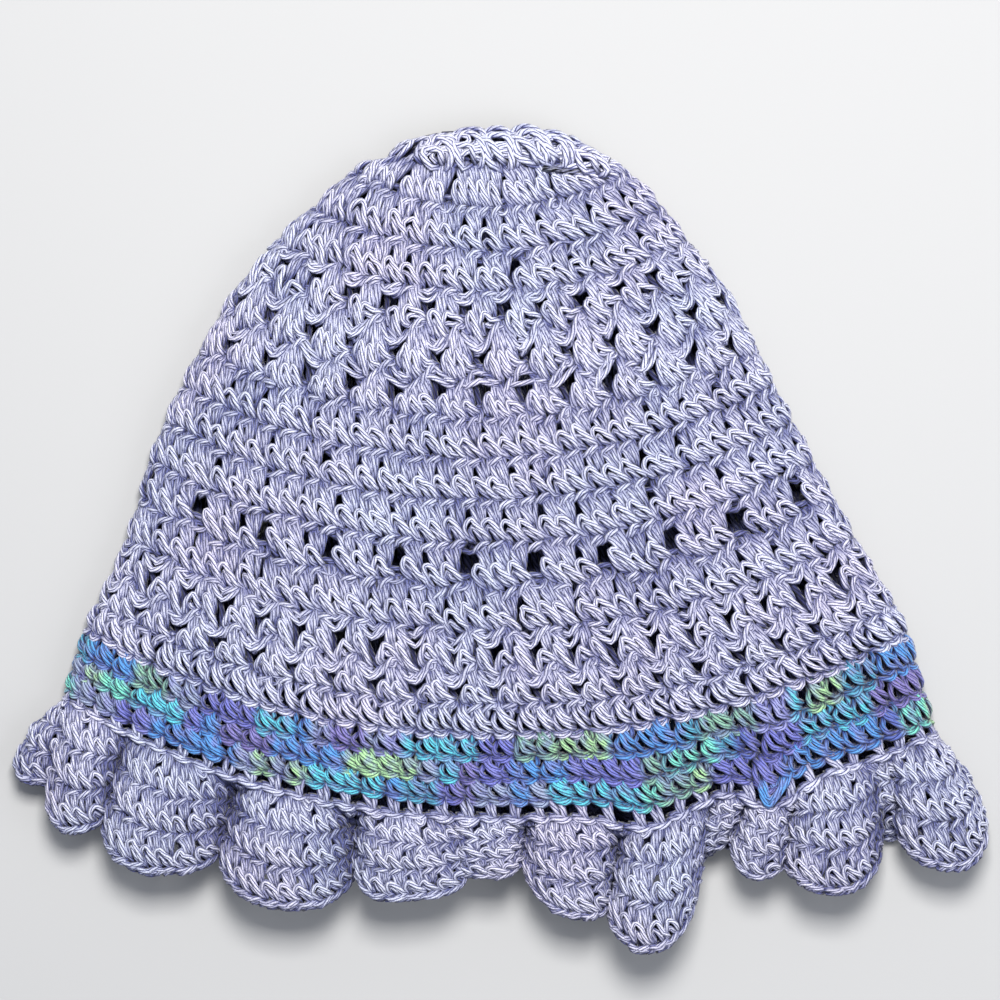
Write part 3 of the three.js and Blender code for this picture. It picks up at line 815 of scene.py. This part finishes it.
# The yarn's plies, and the length in millimetres in which they turn once round it
PLIES = 5
TWIST_PITCH = 18.0

# Patterns: their scale, their detail and how much the fibres' pattern is pressed together along the yarn
FIBRE_ALONG = 1.3
FIBRE_SCALE = 1.7
FIBRE_DETAIL = 3.0
TINT_SCALE = 28.0
TINT_DETAIL = 2.0
BITS_SCALE = 210.0
BITS_DETAIL = 1.0

# Colours by the height on a ply, by the patterns and by the painted brightness that the mesh keeps, as they
# look
# The lilac yarn across a ply: painted shade, deep navy in the grooves between plies, and a painted highlight,
# near white on their ridges
LILAC_AND_GROOVE_SHADE_STOPS = ((0.0, (0.10, 0.10, 0.28)), (0.26, (0.36, 0.37, 0.56)), (0.50, (0.86, 0.87, 0.93)),
               (1.0, (0.96, 0.965, 0.985)))
TINT_STOPS = ((0.3, (0.96, 0.98, 1.0)), (0.7, (1.0, 0.97, 0.99)))
# Painted shade: how far the band's colour turns to its groove shade, from the grooves between plies to their
# ridges
GROOVE_SHADE_STOPS = ((0.0, (0.0, 0.0, 0.0)), (0.26, (0.4, 0.4, 0.4)), (0.54, (1.0, 1.0, 1.0)))
BITS_STOPS = ((0.48, (0.0, 0.0, 0.0)), (0.62, (0.78, 0.78, 0.78)))
FIBRE_STOPS = ((0.36, (0.52, 0.53, 0.66)), (0.58, (1.0, 1.0, 1.0)))
# Painted shade by the kept brightness, from deep navy where it is lowest to none
PAINTED_SHADE_STOPS = ((0.0, (0.09, 0.09, 0.28)), (0.40, (0.14, 0.15, 0.36)), (0.68, (0.42, 0.44, 0.63)),
               (0.96, (1.0, 1.0, 1.0)))
FULL_BRIGHTNESS = 3.3
# Painted shade: the navy that the band's colour is multiplied by in the grooves between plies
GROOVE_SHADE_COLOUR = (0.14, 0.22, 0.48)
# Painted highlight: the pale colour mixed, by its share, into the band's colour on the ridges of its plies;
# the faded colour after it is the yarn's own
RIDGE_HIGHLIGHT_COLOUR = (0.90, 0.96, 0.99)
RIDGE_HIGHLIGHT_SHARE = 0.12
FADED_COLOUR = (0.58, 0.58, 0.82)

ROUGHNESS = 0.5
FIBRE_ROUGHNESS = 0.2
FIBRE_RELIEF = 0.25
RELIEF_M = 0.0003
SHEEN = 0.25
SHEEN_ROUGHNESS = 0.5
SPECULAR = 0.35

# Where a new stop stands until it is placed, and the numbers of a mix node's colour sockets
NEW_STOP = 0.5
MIX_FIRST = 6
MIX_SECOND = 7
MIX_RESULT = 2


def linear(colour):
    """The linear values of an sRGB colour."""
    return tuple(c / 12.92 if c <= 0.04045 else ((c + 0.055) / 1.055) ** 2.4 for c in colour)


class Shading:
    """A new material, whose nodes are made and joined one by one."""

    def __init__(self, name):
        self.material = bpy.data.materials.new(name)
        self.material.use_nodes = True
        self.tree = self.material.node_tree
        self.tree.nodes.clear()

    def node(self, kind, inputs, **settings):
        """A node with its settings, and each input set to a number or a colour or joined to an output."""
        made = self.tree.nodes.new(kind)
        for key, value in settings.items():
            setattr(made, key, value)
        for key, value in inputs.items():
            socket = made.inputs[key]
            if isinstance(value, (int, float)):
                socket.default_value = value
            elif isinstance(value, tuple):
                socket.default_value = (*value, 1)
            else:
                self.tree.links.new(value, socket)
        return made

    def maths(self, operation, *values):
        return self.node("ShaderNodeMath", dict(enumerate(values)), operation=operation).outputs[0]

    def mix(self, blend, factor, first, second):
        inputs = {0: factor, MIX_FIRST: first, MIX_SECOND: second}
        return self.node("ShaderNodeMix", inputs, data_type="RGBA", blend_type=blend).outputs[MIX_RESULT]

    def ramp(self, factor, stops):
        made = self.node("ShaderNodeValToRGB", {0: factor})
        elements = made.color_ramp.elements
        while len(elements) < len(stops):
            elements.new(NEW_STOP)
        for element, (place, colour) in zip(elements, stops):
            element.position = place
            element.color = (*colour, 1)
        return made.outputs[0]

    def noise(self, scale, detail, place):
        inputs = {"Scale": scale, "Detail": detail, "Vector": place}
        return self.node("ShaderNodeTexNoise", inputs).outputs["Fac"]

    def kept(self, name, output):
        """A value that the mesh keeps at its points."""
        return self.node("ShaderNodeAttribute", {}, attribute_name=name).outputs[output]

    def object_place(self):
        return self.node("ShaderNodeTexCoord", {}).outputs["Object"]

    def finished(self, inputs):
        """The material, with a surface that has these inputs."""
        shader = self.node("ShaderNodeBsdfPrincipled", inputs)
        self.node("ShaderNodeOutputMaterial", {"Surface": shader.outputs[0]})
        return self.material


def linear_stops(stops):
    return [(place, linear(colour)) for place, colour in stops]


def yarn_strands(shading):
    """The ridges of the plies, which turn round the yarn, and the pattern of the fibres along them."""
    place = shading.node("ShaderNodeSeparateXYZ", {0: shading.kept("yarn", "Vector")})
    turn = shading.maths("ARCTAN2", place.outputs[1], place.outputs[0])
    twist = shading.maths("MULTIPLY", place.outputs[2], 2 * math.pi * PLIES / TWIST_PITCH)
    phase = shading.maths("MULTIPLY_ADD", turn, PLIES, twist)
    ridge = shading.maths("ABSOLUTE", shading.maths("COSINE", shading.maths("MULTIPLY", phase, 0.5)))
    along = shading.maths("MULTIPLY", place.outputs[2], FIBRE_ALONG)
    fibre_place = shading.node("ShaderNodeCombineXYZ", {0: phase, 1: along})
    return ridge, shading.noise(FIBRE_SCALE, FIBRE_DETAIL, fibre_place.outputs[0])


def finish_yarn(shading, colour, ridge, fibre):
    """Darkens a yarn's colour between fibres, paints shade by its kept brightness (darker deep in the cloth,
    in creases and on strands' sides), and gives it relief and a soft sheen.
    """
    brightness = shading.node("ShaderNodeMapRange", {"From Max": FULL_BRIGHTNESS,
                                                     "Value": shading.kept("height", "Fac")})
    for factor, stops in ((fibre, FIBRE_STOPS), (brightness.outputs[0], PAINTED_SHADE_STOPS)):
        colour = shading.mix("MULTIPLY", 1.0, colour, shading.ramp(factor, linear_stops(stops)))
    relief = shading.maths("MULTIPLY_ADD", fibre, FIBRE_RELIEF, ridge)
    bump = shading.node("ShaderNodeBump", {"Strength": 1.0, "Distance": RELIEF_M, "Height": relief})
    return shading.finished({
        "Base Color": colour,
        "Roughness": shading.maths("MULTIPLY_ADD", fibre, FIBRE_ROUGHNESS, ROUGHNESS),
        "Normal": bump.outputs[0],
        "Sheen Weight": SHEEN,
        "Sheen Roughness": SHEEN_ROUGHNESS,
        "Specular IOR Level": SPECULAR,
    })


def lilac_cotton():
    """The crown's and the brim's lilac yarn, with painted shade in the grooves between its plies and painted
    highlights on their ridges, and a faint tint that changes from place to place.
    """
    shading = Shading("lilac_cotton")
    ridge, fibre = yarn_strands(shading)
    patches = shading.noise(TINT_SCALE, TINT_DETAIL, shading.object_place())
    tint = shading.ramp(patches, linear_stops(TINT_STOPS))
    colour = shading.mix("MULTIPLY", 1.0, shading.ramp(ridge, linear_stops(LILAC_AND_GROOVE_SHADE_STOPS)), tint)
    return finish_yarn(shading, colour, ridge, fibre)


def variegated_cotton():
    """The band's yarn, whose shade of colour changes along it and fades here and there, with painted shade in
    the grooves between its plies and a painted highlight on their ridges.
    """
    shading = Shading("variegated_cotton")
    ridge, fibre = yarn_strands(shading)
    shade = shading.kept("shade", "Color")
    groove_shade = shading.mix("MULTIPLY", 1.0, shade, linear(GROOVE_SHADE_COLOUR))
    highlighted_ridge = shading.mix("MIX", RIDGE_HIGHLIGHT_SHARE, shade, linear(RIDGE_HIGHLIGHT_COLOUR))
    bits = shading.noise(BITS_SCALE, BITS_DETAIL, shading.object_place())
    highlighted_ridge = shading.mix("MIX", shading.ramp(bits, linear_stops(BITS_STOPS)), highlighted_ridge, linear(FADED_COLOUR))
    colour = shading.mix("MIX", shading.ramp(ridge, linear_stops(GROOVE_SHADE_STOPS)), groove_shade, highlighted_ridge)
    return finish_yarn(shading, colour, ridge, fibre)


def group_spans(row):
    """For each group of a round: the spans of each stitch's tops and feet, of the gap between the feet, and of
    the gap from the group's tops to the next."""
    per_group = row["stitches"]
    pitch = 1 / row["groups"]
    stitches = []
    for group in range(row["groups"]):
        middle = (group + row["shift"]) * pitch
        spans = []
        for index in range(per_group):
            ends = []
            for width, split in ((row["tops"], 0), (row["feet"], row["split"])):
                start = -width / 2 + (width - split) * index / per_group
                if index >= per_group / 2:
                    start += split
                ends.append((middle + start * pitch, middle + (start + (width - split) / per_group) * pitch))
            spans.append(ends)
        half_gap = (row["split"] if row["split"] else 1 - row["feet"]) / 2
        gap_middle = middle if row["split"] else middle + pitch / 2
        gap = (gap_middle - half_gap * pitch, gap_middle + half_gap * pitch)
        hang = (middle + row["tops"] / 2 * pitch, middle + (1 - row["tops"] / 2) * pitch)
        stitches.append((spans, gap, hang))
    return stitches


def finish_round(name, yarn, node, material, shades=None):
    """Makes the yarn of a round a piece of the hat."""
    controls, values, steps = yarn.controls()
    points, values = smooth_path(controls, values, steps)
    painted_shading, marks, radii = values[:, :3].T
    colours = shades(marks) if shades is not None else None
    mesh = yarn_mesh(name, points, painted_shading, radii, values[:, 3:], colours)
    mesh.materials.append(material)
    piece = bpy.data.objects.new(name, mesh)
    bpy.context.scene.collection.objects.link(piece)
    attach(piece, "root")
    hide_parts(node)


def even_spans(count):
    """The spans of stitches that share a round evenly."""
    return [(index / count, (index + 1) / count) for index in range(count)]


def gathered_top(crown, material):
    """The first round and the loops gathered in its middle."""
    yarn = Yarn(crown, TOP_SEED, YARN_RADIUS)
    for values in TOP_ROWS:
        row = dict(zip(TOP_COLUMNS, values))
        for span in even_spans(row["loops"]):
            yarn.stitch(TOP_LOOP, span, span, (row["start"], row["end"]))
    finish_round("crown_round_01", yarn, "crown", material)


def raised_loops(material):
    """The loops that stand along the top edge from left to right, with the yarn's way back under them."""
    yarn = Yarn(strip_surface(), RAISED_SEED, LOOP_RADIUS, NO_BACK)
    width = (1 - 2 * STRIP_START) / STRIP_LOOPS
    spans = [(STRIP_START + index * width, STRIP_START + (index + 1) * width) for index in range(STRIP_LOOPS)]
    for span in spans:
        yarn.stitch(CROSSING_LOOP, span, span, (0, 1))
    for span in reversed(spans):
        yarn.stitch(RETURN_RUN, span, span, (0, 1))
    finish_round("crown_raised_loops", yarn, "crown", material)


def worked_round(crown, row, material):
    """A round of groups of stitches, with chains over the gaps between their feet and between their tops."""
    yarn = Yarn(crown, row["round"], YARN_RADIUS)
    rows = (row["round"] - 1 + row["drop"], row["round"])
    for spans, gap, hang in group_spans(row):
        for index, (tops, feet) in enumerate(spans):
            yarn.stitch(DOUBLE_STITCH, tops, feet, rows)
            if row["split"] and index == 0:
                yarn.stitch(CHAIN_LINK, gap, gap, rows)
        if row["feet"] < 1:
            yarn.stitch(CHAIN_LINK, gap, gap, rows)
        if row["tops"] < HANGING_TOPS:
            yarn.stitch(HANGING_LOOP, hang, hang, rows)
    finish_round(f"crown_round_{row['round']:02d}", yarn, "crown", material)


def plain_round(crown, material):
    """The crown's last round, of single stitches."""
    yarn = Yarn(crown, PLAIN_ROUND, YARN_RADIUS)
    for span in even_spans(SINGLE_STITCHES):
        yarn.stitch(SINGLE_STITCH, span, span, (PLAIN_ROUND - 1, PLAIN_ROUND))
    finish_round(f"crown_round_{PLAIN_ROUND}", yarn, "crown", material)


def band_shades(runs, shift):
    """The colour of the yarn at each stitch of a round, easing from one run to the next."""
    front = [name for name, count in runs for _ in range(count)]
    names = front + front[shift:] + front[:shift]
    table = np.array([linear(SHADES[name]) for name in names])

    def at(marks):
        place = marks * len(table) / SINGLE_STITCHES
        low = np.floor(place).astype(int)
        t = np.clip((place - low - EASE_START) / EASE_WIDTH, 0, 1)[:, None]
        return table[low % len(table)] * (1 - t) + table[(low + 1) % len(table)] * t
    return at


def band_rounds(crown, material):
    """The band's rounds of single stitches, the last of them with the pulled stitch that points down."""
    for index, runs in enumerate(BAND_RUNS):
        yarn = Yarn(crown, BAND_SEED + index, YARN_RADIUS)
        line = PLAIN_ROUND + index
        for stitch in range(SINGLE_STITCHES):
            start = (stitch + BAND_SHIFT * index) / SINGLE_STITCHES
            span = (start, start + 1 / SINGLE_STITCHES)
            yarn.stitch(SINGLE_STITCH, span, span, (line, line + 1))
            if line == POINTED_LINE and abs(start - POINTED_AT) < 0.5 / SINGLE_STITCHES:
                wide = (POINTED_AT - POINTED_WIDTH / 2, POINTED_AT + POINTED_WIDTH / 2)
                yarn.stitch(POINTED_STITCH, wide, wide, (POINTED_TOP, POINTED_TIP))
                yarn.count -= 1
        shades = band_shades(runs, BACK_RUNS_START + BACK_RUNS_STEP * index)
        finish_round(f"band_round_{index + 1}", yarn, "band", material, shades)


def open_mesh(crown, material):
    """The open round of posts and gaps between the band and the brim."""
    yarn = Yarn(crown, MESH_SEED, MESH_RADIUS)
    for span in even_spans(MESH_STITCHES):
        yarn.stitch(MESH_STITCH, span, span, (LAST_ROUND - 1, LAST_ROUND))
    finish_round("mesh_round_yarn", yarn, "mesh_round", material)


def ruffle_rounds(crown, material):
    """The brim's rounds of fans: chains hang between the first round's, and a chain runs along the last."""
    ruffle, length, fold = ruffle_surface(crown)
    fans = round(length / RUFFLE_STITCH_WIDTH) // FAN_STITCHES
    for index, (tops_share, shift) in enumerate(RUFFLE_ROWS):
        yarn = Yarn(ruffle, RUFFLE_SEED + index, RUFFLE_RADIUS, fold)
        rows = (LAST_ROUND + index, LAST_ROUND + index + 1)
        row = {"groups": fans, "stitches": FAN_STITCHES, "tops": tops_share, "feet": 1.0, "split": 0.0,
               "shift": shift}
        for spans, _, hang in group_spans(row):
            for tops, feet in spans:
                yarn.stitch(DOUBLE_STITCH, tops, feet, rows)
                if index == len(RUFFLE_ROWS) - 1:
                    yarn.stitch(HEM_LINK, feet, feet, rows)
                    yarn.stitch(LINING, tops, feet, rows)
            if index == 0:
                yarn.stitch(HANGING_LOOP, hang, hang, rows)
        finish_round(f"ruffle_round_{index + 1}", yarn, "ruffle", material)


# The studio, in metres and watts, with its colours as they are lit
FLOOR_HALF = 3.0
FLOOR_PATTERN = 6.0
FLOOR_STOPS = ((0.0, (0.42, 0.418, 0.415)), (1.0, (0.45, 0.448, 0.445)))
FLOOR_ROUGHNESS = 0.8
LIGHTS = (
    ("key", (0.06, 0.50, 1.12), 0.42, 22.5, (1.0, 0.99, 0.97)),
    ("fill", (0.9, -0.4, 0.9), 0.9, 5.0, (0.94, 0.96, 1.0)),
)
SKY_COLOUR = (0.80, 0.86, 1.0, 1)
SKY_STRENGTH = 0.45
LENS_MM = 120
SENSOR_MM = 36
CAMERA_PLACE = (0.0002, 0.0124, 1.117)


def floor_material():
    shading = Shading("pale_floor")
    pattern = shading.node("ShaderNodeTexNoise", {"Scale": FLOOR_PATTERN}).outputs["Fac"]
    return shading.finished({"Base Color": shading.ramp(pattern, FLOOR_STOPS), "Roughness": FLOOR_ROUGHNESS})


def studio_floor():
    mesh = bpy.data.meshes.new("floor")
    half = FLOOR_HALF
    corners = [(-half, -half, 0), (half, -half, 0), (half, half, 0), (-half, half, 0)]
    mesh.from_pydata(corners, [], [(0, 1, 2, 3)])
    floor = bpy.data.objects.new("floor", mesh)
    bpy.context.scene.collection.objects.link(floor)
    mesh.materials.append(floor_material())


def studio_lights():
    """A key light from above the crown and a fill from the right, both aimed at the hat, and a pale sky."""
    for name, place, size, power, colour in LIGHTS:
        data = bpy.data.lights.new(name, "AREA")
        data.size = size
        data.energy = power
        data.color = colour
        light = bpy.data.objects.new(name, data)
        light.location = place
        aim = -light.location
        light.rotation_euler = aim.to_track_quat("-Z", "Y").to_euler()
        bpy.context.scene.collection.objects.link(light)
    world = bpy.data.worlds.new("studio")
    world.use_nodes = True
    background = world.node_tree.nodes["Background"]
    background.inputs["Color"].default_value = SKY_COLOUR
    background.inputs["Strength"].default_value = SKY_STRENGTH
    bpy.context.scene.world = world
    bpy.context.scene.view_settings.view_transform = "Standard"


def camera_above():
    """The camera straight above, as in the photograph."""
    data = bpy.data.cameras.new("camera")
    data.lens = LENS_MM
    data.sensor_width = SENSOR_MM
    camera = bpy.data.objects.new("camera", data)
    camera.location = CAMERA_PLACE
    bpy.context.scene.collection.objects.link(camera)
    bpy.context.scene.camera = camera


def main():
    lilac = lilac_cotton()
    variegated = variegated_cotton()
    crown = crown_surface()
    gathered_top(crown, lilac)
    raised_loops(lilac)
    for values in WORK_ROWS:
        worked_round(crown, dict(zip(WORK_COLUMNS, values)), lilac)
    plain_round(crown, lilac)
    band_rounds(crown, variegated)
    open_mesh(crown, lilac)
    ruffle_rounds(crown, lilac)
    studio_floor()
    studio_lights()
    camera_above()


main()
